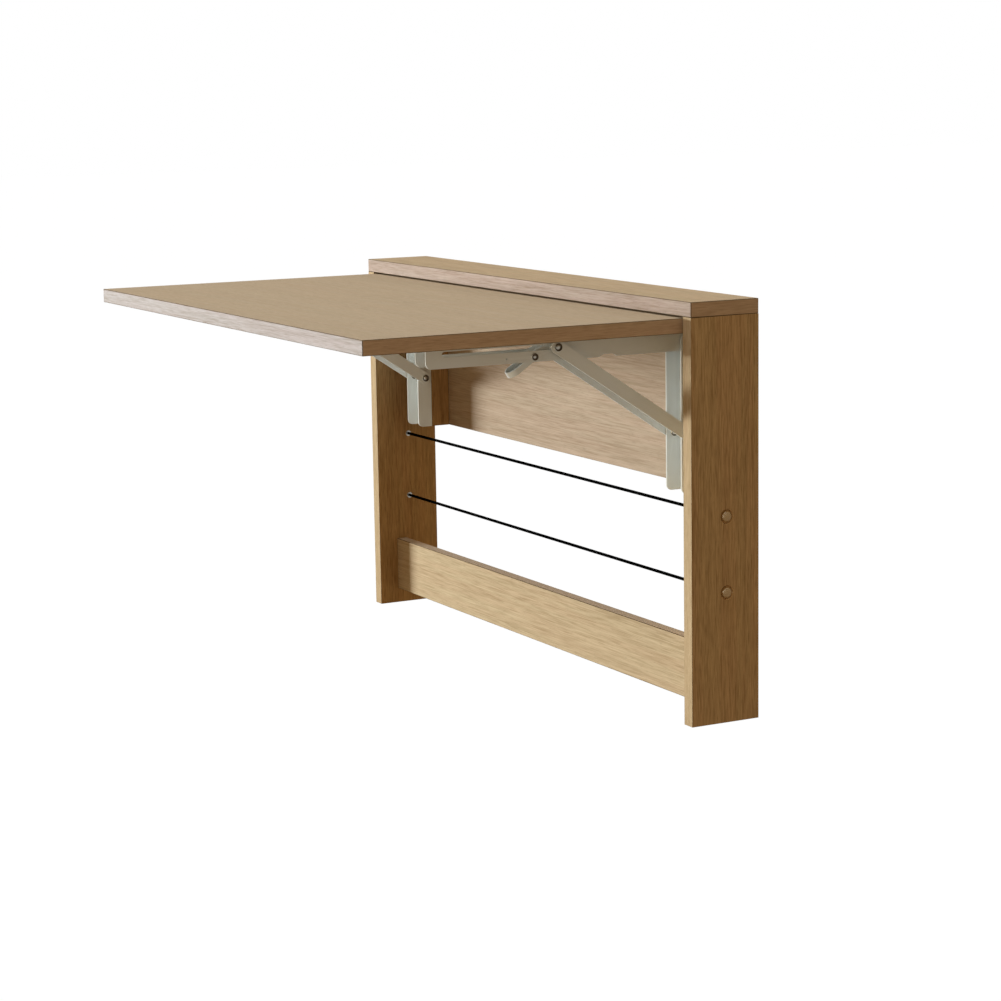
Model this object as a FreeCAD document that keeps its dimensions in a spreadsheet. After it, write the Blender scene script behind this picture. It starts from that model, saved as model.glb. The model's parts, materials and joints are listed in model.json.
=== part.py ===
import FreeCAD, Part
import math
import os
import re
import Sketcher

# A wall-mounted folding desk. A shallow wooden frame carries a tabletop on two
# steel folding brackets. The wall is the plane y = 0 and the room is towards -y,
# z is up, and the origin is the middle of the four wall-fixing holes. Millimetres.

DRIVING_SIZES = (
    # wooden frame, heights from the feet of the side panels
    ("frame_width", 880),
    ("frame_height", 508),
    ("frame_depth", 94),
    ("board", 18),
    ("rail_foot_height", 21),
    ("rail_height", 75),
    ("rail_thickness", 16),
    ("rail_setback", 28),
    # tabletop, with its gaps to the frame
    ("desk_thickness", 18),
    ("desk_reach", 412),
    ("desk_side_gap", 2),
    ("desk_top_gap", 2),
    ("desk_rear_gap", 1),
    # tie rods with their nuts and collars
    ("rod_diameter", 4),
    ("rod_setback", 49.5),
    ("upper_rod_drop", 20),
    ("rod_spacing", 92),
    ("nut_well_diameter", 18),
    ("nut_well_depth", 7),
    ("nut_diameter", 13),
    ("nut_body_height", 5),
    ("nut_dome_height", 5),
    ("rod_end_in_nut", 6),
    ("collar_diameter", 8),
    ("collar_length", 1.5),
    # bracket linkage
    ("bracket_inset", 83),
    ("corner_setback", 37.5),
    ("strut_foot_drop", 109),
    ("wall_arm_tail", 70.5),
    ("strut_head_reach", 180),
    ("slot_depth", 10.5),
    # folded steel sheets
    ("sheet", 2),
    ("wall_arm_width", 36),
    ("wall_arm_depth", 21),
    ("wall_arm_lead", 10.5),
    ("wall_arm_rise", 13),
    ("wall_arm_round", 7),
    ("shelf_arm_width", 28),
    ("shelf_arm_depth", 26.5),
    ("shelf_arm_nose_lead", 23.7),
    ("shelf_arm_round", 7.5),
    ("notch_round", 20),
    ("notch_depth", 4),
    ("slot_width", 6.4),
    ("slot_end_play", 0.3),
    ("strut_width", 16),
    ("strut_thickness", 2),
    ("strut_gap", 1),
    # pins, rivets and washers of the brackets
    ("corner_pin_diameter", 6),
    ("corner_pin_head_diameter", 10),
    ("corner_pin_head_height", 2),
    ("washer_diameter", 12),
    ("rivet_diameter", 6),
    ("rivet_head_diameter", 10),
    ("rivet_head_height", 1.8),
    ("rivet_tail_diameter", 9),
    ("rivet_tail_height", 1.4),
    ("stud_diameter", 6),
    ("stud_head_diameter", 9),
    ("stud_head_height", 1.5),
    ("stud_collar_diameter", 10),
    ("stud_to_strut_gap", 0.3),
    ("axial_play", 0.1),
    ("running_clearance", 0.05),
    ("fixing_clearance", 0.03),
    # release lever, its pin and its spring
    ("lever_lead", 27.2),
    ("lever_pin_rise", 5.8),
    ("lever_pin_diameter", 4),
    ("lever_pin_head_diameter", 9),
    ("lever_pin_head_height", 1.5),
    ("lever_width", 20),
    ("lever_wall", 1.5),
    ("lever_floor_drop", 5.5),
    ("lever_rim_rise", 1.5),
    ("lever_tab_length", 26),
    ("lever_tab_droop", 33),
    ("lever_hook_length", 19),
    ("lever_hook_height", 10),
    ("lever_hook_rise_angle", 26),
    ("spring_wire", 0.8),
    ("spring_pitch", 1.3),
    ("spring_pin_gap", 0.4),
    ("spring_seat_gap", 0.3),
    ("spring_foot_length", 20),
    ("spring_bend", 2.4),
    ("spring_hole_lead", 37),
    ("spring_hole_height", 5.4),
    ("spring_hole_diameter", 2.5),
    # screws, dowels and wall-fixing holes
    ("screw_diameter", 4),
    ("screw_head_diameter", 8),
    ("screw_head_height", 2.5),
    ("shelf_arm_screw_length", 15),
    ("screw_tip_cover", 5.5),
    ("dowel_diameter", 8),
    ("dowel_length", 30),
    ("dowel_in_panel", 12),
    ("fixing_inset", 40),
    ("fixing_edge", 34.5),
    ("fixing_hole_diameter", 6),
    ("overrun", 1),
)

DERIVED_SIZES = (
    # levels of the frame; the apron ends level with the feet of the wall arms
    ("apron_height", "desk_top_gap + corner_setback + strut_foot_drop + wall_arm_tail"),
    ("frame_foot", "apron_height / 2 - (frame_height - board)"),
    ("frame_front", "-frame_depth"),
    ("crown_foot", "frame_foot + frame_height - board"),
    ("apron_foot", "crown_foot - apron_height"),
    ("fixing_rise", "apron_height - 2 * fixing_edge"),
    ("inner_width", "frame_width - 2 * board"),
    ("bracket_x", "frame_width / 2 - bracket_inset"),
    ("rod_y", "frame_front + rod_setback"),
    ("upper_rod_z", "apron_foot - upper_rod_drop"),
    ("lower_rod_z", "upper_rod_z - rod_spacing"),
    ("nut_dome_radius", "(nut_diameter ^ 2 / 4 + nut_dome_height ^ 2) / (2 * nut_dome_height)"),
    # tabletop and the corner pivot, placed so that the tabletop folds flush
    ("desk_face", "crown_foot - desk_top_gap"),
    ("desk_under", "desk_face - desk_thickness"),
    ("corner_y", "frame_front + corner_setback"),
    ("corner_z", "desk_face - corner_setback"),
    ("wall_arm_front", "corner_y - wall_arm_lead"),
    ("wall_arm_back", "wall_arm_front + wall_arm_depth"),
    ("desk_rear", "wall_arm_back - desk_rear_gap"),
    ("block_depth", "-board - wall_arm_back"),
    ("wall_arm_screw_length", "sheet + block_depth - screw_tip_cover"),
    ("block_screw_length", "board + block_depth - screw_head_height - screw_tip_cover"),
    ("wall_arm_top", "corner_z + wall_arm_rise"),
    # strut from its foot on the wall arm to its head in the slot
    ("strut_foot_z", "corner_z - strut_foot_drop"),
    ("slot_z", "desk_under - slot_depth"),
    ("slot_offset", "slot_z - corner_z"),
    ("strut_head_y", "corner_y - strut_head_reach"),
    ("strut_rise", "slot_z - strut_foot_z"),
    ("strut_length", "sqrt(strut_head_reach ^ 2 + strut_rise ^ 2)"),
    ("strut_angle", "180 - atan(strut_rise / strut_head_reach) / 1 deg"),
    ("folded_head_reach", "strut_foot_drop + sqrt(strut_length ^ 2 - slot_offset ^ 2)"),
    ("slot_front_centre", "corner_y - folded_head_reach - slot_end_play"),
    ("slot_rear_centre", "strut_head_y + slot_end_play"),
    # shelf arm and lever
    ("shelf_arm_foot", "desk_under - shelf_arm_depth"),
    ("shelf_arm_rear", "corner_y + shelf_arm_round"),
    ("shelf_arm_nose", "slot_front_centre - shelf_arm_nose_lead"),
    ("shelf_arm_length", "corner_y - shelf_arm_nose"),
    ("lever_y", "strut_head_y - lever_lead"),
    ("lever_z", "shelf_arm_foot + lever_pin_rise"),
    ("spring_hole_y", "lever_y - spring_hole_lead"),
    ("spring_hole_z", "shelf_arm_foot + spring_hole_height"),
    # half widths across a bracket
    ("wall_web_outside", "wall_arm_width / 2"),
    ("wall_web_inside", "wall_web_outside - sheet"),
    ("shelf_web_outside", "shelf_arm_width / 2"),
    ("shelf_web_inside", "shelf_web_outside - sheet"),
    ("strut_inside", "wall_web_outside + strut_gap"),
    ("strut_outside", "strut_inside + strut_thickness"),
)

# Places along a piece, as shares of its length.
PANEL_DOWEL_SHARES = (0.25, 0.75)
CROWN_DOWEL_SHARES = (-0.4, 0, 0.4)
APRON_DOWEL_SHARES = (0.3, 0.7)
RAIL_DOWEL_SHARES = (0.25, 0.75)
BLOCK_SCREW_SHARES = (0.2, 0.6)
WALL_ARM_SCREW_SHARES = (0.12, 0.45, 0.78)
SHELF_ARM_SCREW_SHARES = (0.12, 0.42, 0.92)
SPRING_TURNS = 4

# How finely the gap between a spring's coils is measured, and how near an edge's middle
# lies to a named corner, as a share of the edge's length.
GAP_POINTS_PER_ARC = 24
NEARNESS_SHARE = 0.001

# The two sides with the sign of their x, and the two faces of a bracket with theirs.
SIDES = (("left", "-"), ("right", ""))
ENDS = (("west", "-1"), ("east", "1"))
LEVELS = ("upper", "lower")
OUTWARD = {"left": "-x", "right": "x", "west": "-x", "east": "x"}
INWARD = {"left": "x", "right": "-x"}
FULL_TURN = 2 * math.pi

doc = FreeCAD.newDocument("FoldingDesk")
sheet = doc.addObject("Spreadsheet::Sheet", "Sizes")
aliases = set()
nodes = []


def fill_sheet():
    rows = [(alias, str(value)) for alias, value in DRIVING_SIZES]
    rows += [(alias, f"={text}") for alias, text in DERIVED_SIZES]
    for row, (alias, text) in enumerate(rows, start=1):
        sheet.set(f"A{row}", alias)
        sheet.set(f"B{row}", text)
        sheet.setAlias(f"B{row}", alias)
        aliases.add(alias)
    doc.recompute()


def formula(text):
    """The same formula with each size name pointing at its cell of the sheet."""
    def refer(word):
        name = word.group()
        return f"Sizes.{name}" if name in aliases else name
    return re.sub(r"[a-z][a-z_]+", refer, text)


def bind(thing, target, text):
    thing.setExpression(target, formula(text))


def place(thing, where):
    for axis, text in zip("xyz", where):
        bind(thing, f"Placement.Base.{axis}", text)
    return thing


# Turns that lay a cylinder, made along +z, along another axis.
LAID_ALONG = {
    "x": FreeCAD.Rotation(FreeCAD.Vector(0, 1, 0), 90),
    "-x": FreeCAD.Rotation(FreeCAD.Vector(0, 1, 0), -90),
    "y": FreeCAD.Rotation(FreeCAD.Vector(1, 0, 0), -90),
    "-y": FreeCAD.Rotation(FreeCAD.Vector(1, 0, 0), 90),
    "z": FreeCAD.Rotation(),
}


def lay(thing, axis):
    thing.Placement = FreeCAD.Placement(FreeCAD.Vector(), LAID_ALONG[axis])
    return thing


def box(name, size, where):
    piece = doc.addObject("Part::Box", name)
    for side, text in zip(("Length", "Width", "Height"), size):
        bind(piece, side, text)
    return place(piece, where)


def cylinder(name, axis, diameter, length, where):
    piece = lay(doc.addObject("Part::Cylinder", name), axis)
    bind(piece, "Radius", f"({diameter}) / 2")
    bind(piece, "Height", length)
    return place(piece, where)


def fuse(name, pieces):
    joined = doc.addObject("Part::MultiFuse", name)
    joined.Shapes = pieces
    joined.Refine = True
    return joined


def group(name, pieces):
    together = doc.addObject("Part::Compound", name)
    together.Links = pieces
    return together


def cut(name, base, tools):
    rest = doc.addObject("Part::Cut", name)
    rest.Base = base
    rest.Tool = tools[0] if len(tools) == 1 else group(f"{name}_cuts", tools)
    return rest


def stepped(name, axis, steps, where):
    """Coaxial cylinders end to end, from pairs of diameter and length."""
    parts = []
    start = "0"
    for number, (diameter, length) in enumerate(steps):
        parts.append(cylinder(f"{name}_step{number}", "z", diameter, length, ("0", "0", start)))
        start = f"{start} + {length}"
    return place(lay(fuse(name, parts), axis), where)


def ring(name, axis, outside, inside, length, where):
    hole_start = ("0", "0", "-overrun")
    whole = cylinder(f"{name}_disc", "z", outside, length, ("0", "0", "0"))
    hole = cylinder(f"{name}_hole", "z", inside, f"{length} + 2 * overrun", hole_start)
    return place(lay(cut(name, whole, [hole]), axis), where)


def bar(name, thickness, length, width):
    """A bar with round ends, along +y from the middle of its first end."""
    corner = (f"-({thickness}) / 2", "0", f"-({width}) / 2")
    middle = box(f"{name}_middle", (thickness, length, width), corner)
    ends = []
    for number, reach in enumerate(("0", length)):
        where = (f"-({thickness}) / 2", reach, "0")
        ends.append(cylinder(f"{name}_end{number}", "x", width, thickness, where))
    return fuse(name, [middle, *ends])


def tilt(thing, angle):
    """Turns a piece about the x axis by a formula in degrees."""
    thing.Placement = FreeCAD.Placement(FreeCAD.Vector(), FreeCAD.Rotation(FreeCAD.Vector(1, 0, 0), 1))
    bind(thing, "Placement.Rotation.Angle", angle)
    return thing


def keep(label, thing):
    """Marks an object as one of the object's own pieces."""
    thing.Label = label
    nodes.append(thing)
    return thing


def new_sketch(body, name, role):
    drawing = body.newObject("Sketcher::SketchObject", name)
    plane = next(item for item in body.Origin.OriginFeatures if item.Role == role)
    drawing.AttachmentSupport = [(plane, "")]
    drawing.MapMode = "FlatFace"
    return drawing


def pin_point(drawing, element, point, across, up):
    for kind, text in (("DistanceX", across), ("DistanceY", up)):
        rule = drawing.addConstraint(Sketcher.Constraint(kind, -1, 1, element, point, 1.0))
        bind(drawing, f"Constraints[{rule}]", text)


def outline(body, name, role, corners):
    """A closed outline. It starts as a small regular polygon, which its rules then move."""
    drawing = new_sketch(body, name, role)
    turns = [FULL_TURN * number / len(corners) for number in range(len(corners) + 1)]
    rough = [FreeCAD.Vector(math.cos(turn), math.sin(turn), 0) for turn in turns]
    for start, end in zip(rough, rough[1:]):
        drawing.addGeometry(Part.LineSegment(start, end))
    for line in range(len(corners)):
        after = (line + 1) % len(corners)
        drawing.addConstraint(Sketcher.Constraint("Coincident", line, 2, after, 1))
    for line, (across, up) in enumerate(corners):
        pin_point(drawing, line, 1, across, up)
    return drawing


def rectangle(body, name, role, low, high):
    corners = ((low[0], low[1]), (high[0], low[1]), (high[0], high[1]), (low[0], high[1]))
    return outline(body, name, role, corners)


def circles(body, name, role, rounds):
    """Circles from triples of place across, place up and diameter."""
    drawing = new_sketch(body, name, role)
    for number, (across, up, diameter) in enumerate(rounds):
        drawing.addGeometry(Part.Circle(FreeCAD.Vector(), FreeCAD.Vector(0, 0, 1), 1))
        pin_point(drawing, number, 3, across, up)
        rule = drawing.addConstraint(Sketcher.Constraint("Diameter", number, 1.0))
        bind(drawing, f"Constraints[{rule}]", diameter)
    return drawing


def pad(body, name, drawing, width):
    feature = body.newObject("PartDesign::Pad", name)
    feature.Profile = drawing
    feature.SideType = "Symmetric"
    bind(feature, "Length", width)
    return feature


def pocket(body, name, drawing, width=None):
    """A pocket to both sides of its sketch, right through unless it has a width."""
    feature = body.newObject("PartDesign::Pocket", name)
    feature.Profile = drawing
    feature.SideType = "Symmetric"
    if width is None:
        feature.Type = "ThroughAll"
    else:
        bind(feature, "Length", width)
    return feature


def round_corners(body, name, base, corners, radius):
    """Rounds the edges along x that pass through the given corners of the outline."""
    doc.recompute()
    found = []
    for across, up in corners:
        spot = FreeCAD.Vector(0, sheet.get(across), sheet.get(up))
        for number, edge in enumerate(base.Shape.Edges, start=1):
            if edge.CenterOfMass.distanceToPoint(spot) < NEARNESS_SHARE * edge.Length:
                found.append(f"Edge{number}")
    feature = body.newObject("PartDesign::Fillet", name)
    feature.Base = (base, found)
    bind(feature, "Radius", radius)
    return feature


def share_along(start, length, share):
    return f"{start} + {share} * ({length})"


# Wood

def side_panels():
    for side, sign in SIDES:
        name = f"side_panel_{side}"
        low_x = "frame_width / 2 - board" if side == "right" else "-frame_width / 2"
        size = ("board", "frame_depth", "frame_height - board")
        blank = box(f"{name}_blank", size, (low_x, "frame_front", "frame_foot"))
        holes = panel_dowel_holes(name)
        for level in LEVELS:
            bore_start = (f"{sign}(frame_width / 2 - board - overrun)", "rod_y", f"{level}_rod_z")
            holes.append(cylinder(f"{name}_{level}_bore", OUTWARD[side],
                                  "rod_diameter + 2 * fixing_clearance", "board + 2 * overrun", bore_start))
            well_start = (f"{sign}(frame_width / 2 - nut_well_depth)", "rod_y", f"{level}_rod_z")
            holes.append(cylinder(f"{name}_{level}_well", OUTWARD[side], "nut_well_diameter",
                                  "nut_well_depth + overrun", well_start))
        keep(name, cut(name, blank, holes))


def dowel(name, axis, where, extra="0"):
    diameter = f"dowel_diameter + 2 * ({extra})"
    return cylinder(name, axis, diameter, "dowel_length", where)


def crown_dowels(name, extra="0"):
    """The upright dowels under the top board, over both panels and the apron."""
    made = []
    start = "crown_foot + dowel_in_panel - dowel_length"
    for side, sign in SIDES:
        for number, share in enumerate(PANEL_DOWEL_SHARES):
            where = (f"{sign}(frame_width - board) / 2", f"{share} * frame_front", start)
            made.append(dowel(f"{name}_{side}{number}", "z", where, extra))
    for number, share in enumerate(CROWN_DOWEL_SHARES):
        where = (f"{share} * inner_width", "-board / 2", start)
        made.append(dowel(f"{name}_middle{number}", "z", where, extra))
    return made


def level_dowels(name, across, foot, height, shares, extra="0"):
    """The lying dowels at both ends of the apron or of the lower rail."""
    made = []
    for side, sign in SIDES:
        start = f"{sign}(inner_width / 2 + dowel_in_panel)"
        for number, share in enumerate(shares):
            where = (start, across, share_along(foot, height, share))
            made.append(dowel(f"{name}_{side}{number}", INWARD[side], where, extra))
    return made


APRON_DOWEL_PLACE = ("-board / 2", "apron_foot", "apron_height", APRON_DOWEL_SHARES)
RAIL_DOWEL_PLACE = (
    "frame_front + rail_setback + rail_thickness / 2",
    "frame_foot + rail_foot_height",
    "rail_height",
    RAIL_DOWEL_SHARES,
)


def panel_dowel_holes(name):
    """Holes for all the dowels. Those of the other panel lie clear of this one."""
    holes = crown_dowels(f"{name}_crown_hole", "fixing_clearance")
    holes += level_dowels(f"{name}_apron_hole", *APRON_DOWEL_PLACE, "fixing_clearance")
    holes += level_dowels(f"{name}_rail_hole", *RAIL_DOWEL_PLACE, "fixing_clearance")
    return holes


def top_board():
    size = ("frame_width", "frame_depth", "board")
    blank = box("top_board_blank", size, ("-frame_width / 2", "frame_front", "crown_foot"))
    holes = crown_dowels("top_board_hole", "fixing_clearance")
    keep("top_board", cut("top_board", blank, holes))


def apron():
    size = ("inner_width", "board", "apron_height")
    blank = box("apron_blank", size, ("-inner_width / 2", "-board", "apron_foot"))
    holes = crown_dowels("apron_crown_hole", "fixing_clearance")
    holes += level_dowels("apron_end_hole", *APRON_DOWEL_PLACE, "fixing_clearance")
    for side, sign in SIDES:
        for level, up in zip(LEVELS, ("", "-")):
            start = (f"{sign}(frame_width / 2 - fixing_inset)", "-board - overrun", f"{up}fixing_rise / 2")
            holes.append(cylinder(f"wall_hole_{side}_{level}", "y", "fixing_hole_diameter",
                                  "board + 2 * overrun", start))
    holes += block_screw_set("apron_screw_hole", "fixing_clearance")
    keep("apron", cut("apron", blank, holes))


def lower_rail():
    size = ("inner_width", "rail_thickness", "rail_height")
    where = ("-inner_width / 2", "frame_front + rail_setback", "frame_foot + rail_foot_height")
    blank = box("lower_rail_blank", size, where)
    holes = level_dowels("lower_rail_hole", *RAIL_DOWEL_PLACE, "fixing_clearance")
    keep("lower_rail", cut("lower_rail", blank, holes))


def dowel_groups():
    keep("top_board_dowels", group("top_board_dowels", crown_dowels("top_dowel")))
    keep("apron_dowels", group("apron_dowels", level_dowels("apron_dowel", *APRON_DOWEL_PLACE)))
    keep("rail_dowels", group("rail_dowels", level_dowels("rail_dowel", *RAIL_DOWEL_PLACE)))


def tabletop():
    width = "inner_width - 2 * desk_side_gap"
    size = (width, "desk_reach - frame_front + desk_rear", "desk_thickness")
    where = (f"-({width}) / 2", "frame_front - desk_reach", "desk_under")
    blank = box("tabletop_blank", size, where)
    keep("tabletop", cut("tabletop", blank, shelf_arm_screw_set("tabletop_hole", "fixing_clearance")))


def bracket_blocks():
    for side, sign in SIDES:
        name = f"bracket_block_{side}"
        size = ("wall_arm_width", "block_depth", "apron_height")
        where = (f"{sign}bracket_x - wall_arm_width / 2", "wall_arm_back", "apron_foot")
        blank = box(f"{name}_blank", size, where)
        holes = block_screw_set(f"{name}_rear_hole", "fixing_clearance")
        holes += wall_arm_screw_set(f"{name}_front_hole", "fixing_clearance")
        keep(name, cut(name, blank, holes))


# Screws

def screw(name, axis, length, where, extra):
    """A head on a plain shank. The extra is the clearance of the hole that it makes."""
    head = (f"screw_head_diameter + 2 * ({extra})", "screw_head_height")
    shank = (f"screw_diameter + 2 * ({extra})", length)
    return stepped(name, axis, (head, shank), where)


def block_screw_set(name, extra="0"):
    """Screws from the wall side, through the apron into each block, heads sunk flush."""
    made = []
    for side, sign in SIDES:
        for number, share in enumerate(BLOCK_SCREW_SHARES):
            up = share_along("apron_foot", "apron_height", share)
            where = (f"{sign}bracket_x", "0", up)
            made.append(screw(f"{name}_{side}{number}", "-y", "block_screw_length", where, extra))
    return made


def wall_arm_screw_set(name, extra="0"):
    """Screws inside each wall arm, through its back into the block."""
    made = []
    start = "wall_arm_back - sheet - screw_head_height"
    for side, sign in SIDES:
        for number, share in enumerate(WALL_ARM_SCREW_SHARES):
            up = share_along("apron_foot", "wall_arm_top - apron_foot", share)
            where = (f"{sign}bracket_x", start, up)
            made.append(screw(f"{name}_{side}{number}", "y", "wall_arm_screw_length", where, extra))
    return made


def shelf_arm_screw_set(name, extra="0"):
    """Screws inside each shelf arm, up through its top into the tabletop."""
    made = []
    start = "desk_under - sheet - screw_head_height"
    for side, sign in SIDES:
        for number, share in enumerate(SHELF_ARM_SCREW_SHARES):
            where = (f"{sign}bracket_x", f"corner_y - {share} * shelf_arm_length", start)
            made.append(screw(f"{name}_{side}{number}", "z", "shelf_arm_screw_length", where, extra))
    return made


def screw_groups():
    keep("block_screws", group("block_screws", block_screw_set("block_screw")))
    keep("wall_arm_screws", group("wall_arm_screws", wall_arm_screw_set("wall_arm_screw")))
    keep("shelf_arm_screws", group("shelf_arm_screws", shelf_arm_screw_set("shelf_arm_screw")))


# Tie rods

def tie_rods():
    for level in LEVELS:
        half = "(frame_width / 2 - nut_well_depth + rod_end_in_nut)"
        where = (f"-{half}", "rod_y", f"{level}_rod_z")
        keep(f"tie_rod_{level}", cylinder(f"tie_rod_{level}", "x", "rod_diameter", f"2 * {half}", where))


def rod_nuts():
    """Domed cap nuts in the wells of the side panels, proud of them, with the rod ends inside."""
    nuts = []
    for side, sign in SIDES:
        for level in LEVELS:
            name = f"rod_nut_{side}_{level}"
            core = cylinder(f"{name}_core", "z", "nut_diameter", "nut_body_height", ("0", "0", "0"))
            ball = doc.addObject("Part::Sphere", f"{name}_ball")
            bind(ball, "Radius", "nut_dome_radius")
            place(ball, ("0", "0", "nut_body_height + nut_dome_height - nut_dome_radius"))
            dome = doc.addObject("Part::Common", f"{name}_dome")
            dome.Base = ball
            dome.Tool = cylinder(f"{name}_column", "z", "2 * nut_dome_radius", "nut_dome_height",
                                 ("0", "0", "nut_body_height"))
            bore = cylinder(f"{name}_bore", "z", "rod_diameter + 2 * fixing_clearance",
                            "rod_end_in_nut + fixing_clearance + overrun", ("0", "0", "-overrun"))
            nut = lay(cut(name, fuse(f"{name}_whole", [core, dome]), [bore]), OUTWARD[side])
            seat = (f"{sign}(frame_width / 2 - nut_well_depth)", "rod_y", f"{level}_rod_z")
            nuts.append(place(nut, seat))
    keep("rod_nuts", group("rod_nuts", nuts))


def rod_collars():
    collars = []
    for side, sign in SIDES:
        for level in LEVELS:
            where = (f"{sign}inner_width / 2", "rod_y", f"{level}_rod_z")
            collars.append(ring(f"rod_collar_{side}_{level}", INWARD[side], "collar_diameter",
                                "rod_diameter + 2 * fixing_clearance", "collar_length", where))
    keep("rod_collars", group("rod_collars", collars))


# Brackets

def new_body(name, sign):
    body = doc.addObject("PartDesign::Body", name)
    bind(body, "Placement.Base.x", f"{sign}bracket_x")
    return body


def wall_arm(side, sign):
    """An upright channel, open to the front, screwed to its block."""
    name = f"wall_arm_{side}"
    body = new_body(name, sign)
    shape = rectangle(body, f"{name}_outline", "YZ_Plane",
                      ("wall_arm_front", "apron_foot"), ("wall_arm_back", "wall_arm_top"))
    solid = pad(body, f"{name}_pad", shape, "wall_arm_width")
    front_corners = (("wall_arm_front", "apron_foot"), ("wall_arm_front", "wall_arm_top"))
    round_corners(body, f"{name}_rounds", solid, front_corners, "wall_arm_round")
    channel = rectangle(body, f"{name}_channel", "YZ_Plane",
                        ("wall_arm_front - overrun", "apron_foot - overrun"),
                        ("wall_arm_back - sheet", "wall_arm_top + overrun"))
    pocket(body, f"{name}_hollow", channel, "2 * wall_web_inside")
    corner_hole = ("corner_y", "corner_z", "corner_pin_diameter + 2 * fixing_clearance")
    rivet_hole = ("corner_y", "strut_foot_z", "rivet_diameter + 2 * fixing_clearance")
    holes = circles(body, f"{name}_pin_holes", "YZ_Plane", (corner_hole, rivet_hole))
    pocket(body, f"{name}_pin_pocket", holes)
    screw_holes = []
    for share in WALL_ARM_SCREW_SHARES:
        up = share_along("apron_foot", "wall_arm_top - apron_foot", share)
        screw_holes.append(("0", up, "screw_diameter + 2 * fixing_clearance"))
    pocket(body, f"{name}_screw_pocket", circles(body, f"{name}_screw_holes", "XZ_Plane", screw_holes))
    keep(name, body)


def shelf_arm(side, sign):
    """A channel under the tabletop, closed on top, slotted for the strut heads."""
    name = f"shelf_arm_{side}"
    body = new_body(name, sign)
    shape = rectangle(body, f"{name}_outline", "YZ_Plane",
                      ("shelf_arm_nose", "shelf_arm_foot"), ("shelf_arm_rear", "desk_under"))
    solid = pad(body, f"{name}_pad", shape, "shelf_arm_width")
    low_corners = (("shelf_arm_nose", "shelf_arm_foot"), ("shelf_arm_rear", "shelf_arm_foot"))
    round_corners(body, f"{name}_rounds", solid, low_corners, "shelf_arm_round - fixing_clearance")
    channel = rectangle(body, f"{name}_channel", "YZ_Plane",
                        ("shelf_arm_nose - overrun", "shelf_arm_foot - overrun"),
                        ("shelf_arm_rear + overrun", "desk_under - sheet"))
    pocket(body, f"{name}_hollow", channel, "2 * shelf_web_inside")
    half_slot = "slot_width / 2"
    slot = rectangle(body, f"{name}_slot", "YZ_Plane",
                     ("slot_front_centre", f"slot_z - {half_slot}"),
                     ("slot_rear_centre", f"slot_z + {half_slot}"))
    pocket(body, f"{name}_slot_pocket", slot)
    slot_ends = [(end, "slot_z", "slot_width") for end in ("slot_front_centre", "slot_rear_centre")]
    pocket(body, f"{name}_slot_end_pocket", circles(body, f"{name}_slot_ends", "YZ_Plane", slot_ends))
    corner_hole = ("corner_y", "corner_z", "corner_pin_diameter + 2 * running_clearance")
    lever_hole = ("lever_y", "lever_z", "lever_pin_diameter + 2 * fixing_clearance")
    spring_hole = ("spring_hole_y", "spring_hole_z", "spring_hole_diameter")
    notch = ("corner_y - strut_foot_drop", "shelf_arm_foot + notch_depth - notch_round", "2 * notch_round")
    holes = circles(body, f"{name}_holes", "YZ_Plane", (corner_hole, lever_hole, spring_hole, notch))
    pocket(body, f"{name}_hole_pocket", holes)
    screw_holes = []
    for share in SHELF_ARM_SCREW_SHARES:
        along = f"corner_y - {share} * shelf_arm_length"
        screw_holes.append(("0", along, "screw_diameter + 2 * fixing_clearance"))
    pocket(body, f"{name}_screw_pocket", circles(body, f"{name}_screw_holes", "XY_Plane", screw_holes))
    keep(name, body)


def strut(side, sign):
    """Two flat bars outside the wall arm, with a rivet through the head of each."""
    rivets = []
    for end, out in ENDS:
        name = f"strut_bar_{side}_{end}"
        flat = bar(f"{name}_flat", "strut_thickness", "strut_length", "strut_width")
        across = "strut_thickness + 2 * overrun"
        start = "-strut_thickness / 2 - overrun"
        foot = cylinder(f"{name}_foot_hole", "x", "rivet_diameter + 2 * running_clearance", across,
                        (start, "0", "0"))
        head = cylinder(f"{name}_head_hole", "x", "rivet_diameter + 2 * fixing_clearance", across,
                        (start, "strut_length", "0"))
        piece = tilt(cut(name, flat, [foot, head]), "strut_angle")
        middle = f"{sign}bracket_x + {out} * (strut_inside + strut_thickness / 2)"
        keep(name, place(piece, (middle, "corner_y", "strut_foot_z")))
        steps = (("rivet_diameter", "strut_thickness"), ("rivet_head_diameter", "rivet_head_height"))
        where = (f"{sign}bracket_x + {out} * strut_inside", "strut_head_y", "slot_z")
        rivets.append(stepped(f"strut_head_rivet_{side}_{end}", OUTWARD[end], steps, where))
    keep(f"strut_head_rivets_{side}", group(f"strut_head_rivets_{side}", rivets))


def slide_studs(side, sign):
    """A short stud in each web's slot. It carries the strut head along the slot."""
    studs = []
    for end, out in ENDS:
        shank = "sheet + 2 * axial_play"
        collar = "strut_inside - stud_to_strut_gap - shelf_web_outside - axial_play"
        steps = (
            ("stud_head_diameter", "stud_head_height"),
            ("stud_diameter", shank),
            ("stud_collar_diameter", collar),
        )
        start = f"{sign}bracket_x + {out} * (shelf_web_inside - axial_play - stud_head_height)"
        where = (start, "strut_head_y", "slot_z")
        studs.append(stepped(f"slide_stud_{side}_{end}", OUTWARD[end], steps, where))
    keep(f"slide_studs_{side}", group(f"slide_studs_{side}", studs))


def corner_pin(side, sign):
    """The pin through both arms at the corner, with a head at each end."""
    head = ("corner_pin_head_diameter", "corner_pin_head_height")
    steps = (head, ("corner_pin_diameter", "wall_arm_width"), head)
    start = f"{sign}bracket_x - wall_web_outside - corner_pin_head_height"
    keep(f"corner_pin_{side}", stepped(f"corner_pin_{side}", "x", steps, (start, "corner_y", "corner_z")))


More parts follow.
